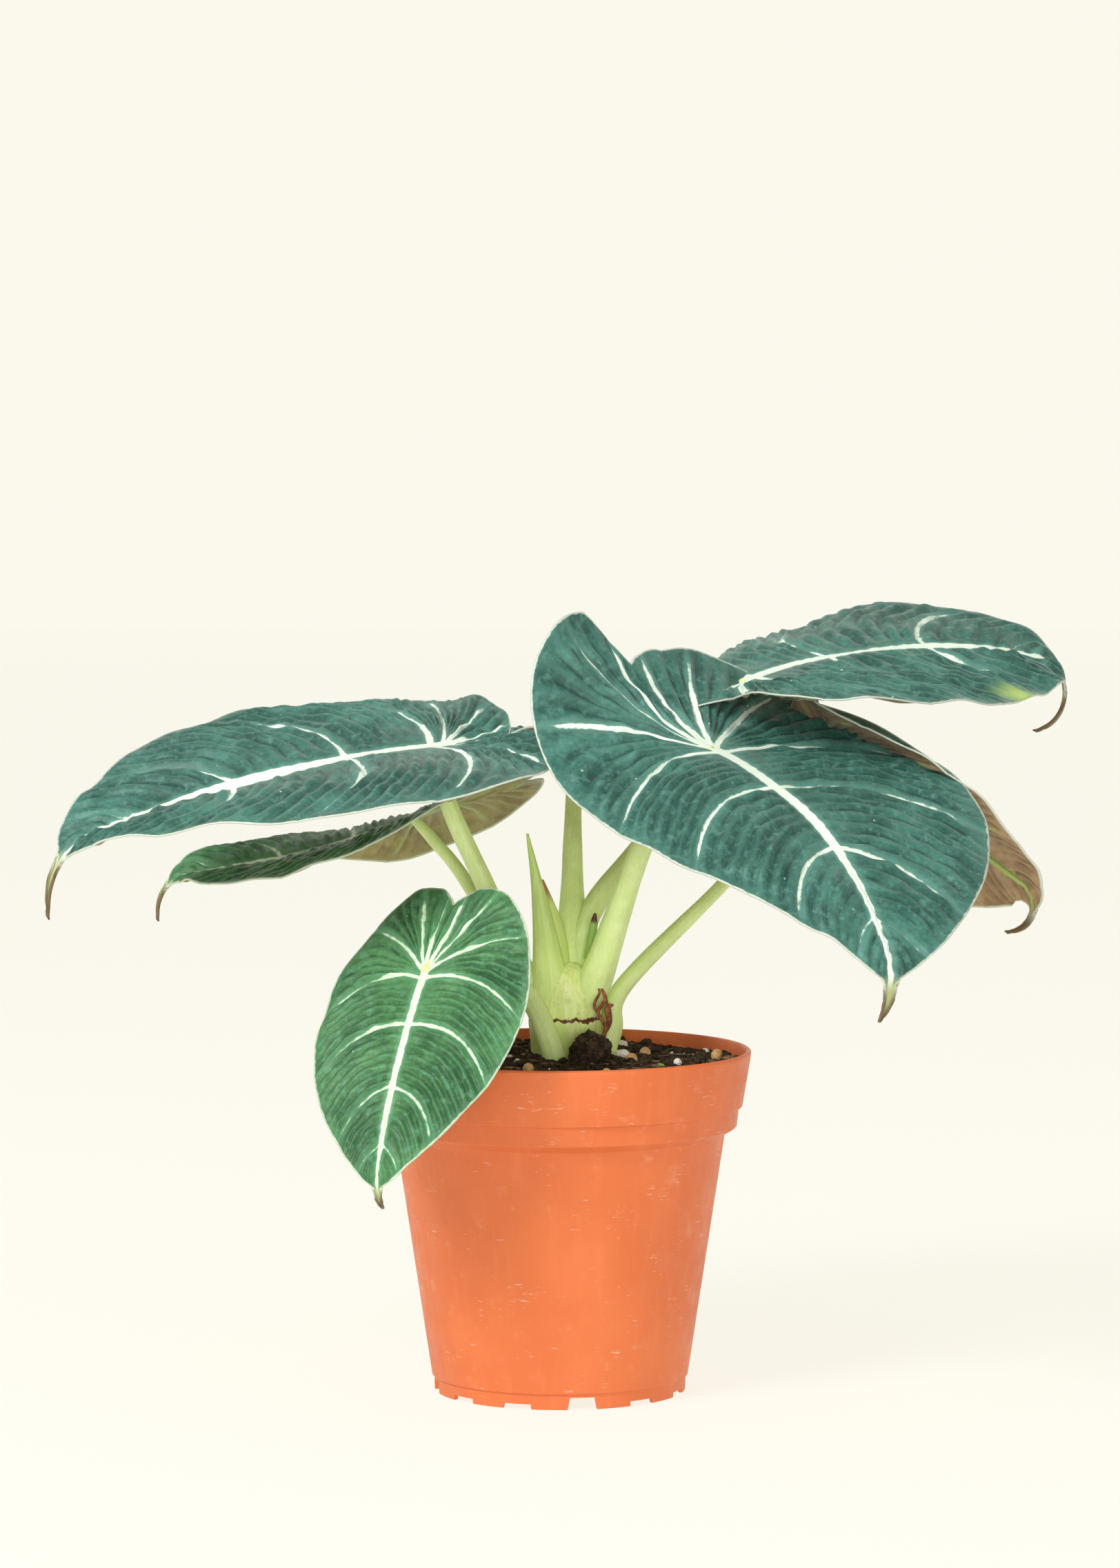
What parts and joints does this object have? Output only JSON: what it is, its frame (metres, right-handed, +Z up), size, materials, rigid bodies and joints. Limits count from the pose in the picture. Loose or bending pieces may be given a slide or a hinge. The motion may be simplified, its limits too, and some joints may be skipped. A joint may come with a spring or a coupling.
{
  "type": "potted alocasia",
  "caption": "Free-standing potted alocasia: a short stem with arrow-shaped, pale-veined drooping leaves on long petioles, in a round two-step terracotta-coloured plastic nursery pot of soil.",
  "frame": {"origin": "middle of the pot's underside, on the surface it stands on", "axes": "+Z up; the plant's front, with its smallest hanging leaf, faces -Y; +X to the viewer's right"},
  "size_m": [0.2839, 0.1981, 0.2143],
  "materials": {
    "pot": "satin terracotta-orange polypropylene",
    "potting_soil": "moist dark peat and bark mix",
    "alocasia_plant": "living leaf, velvety blue-green with pale veins",
    "perlite": "matt white volcanic grain",
    "prill": "satin amber resin coat"
  },
  "bodies": {
    "root": {"pot": "pot", "potting_soil": "potting_soil", "alocasia_plant": "alocasia_plant", "perlite_1": "perlite", "perlite_2": "perlite", "perlite_3": "perlite", "perlite_4": "perlite", "perlite_5": "perlite", "perlite_6": "perlite", "fertiliser_prill_1": "prill", "fertiliser_prill_2": "prill", "fertiliser_prill_3": "prill", "fertiliser_prill_4": "prill", "fertiliser_prill_5": "prill", "fertiliser_prill_6": "prill"}
  },
  "joints": []
}
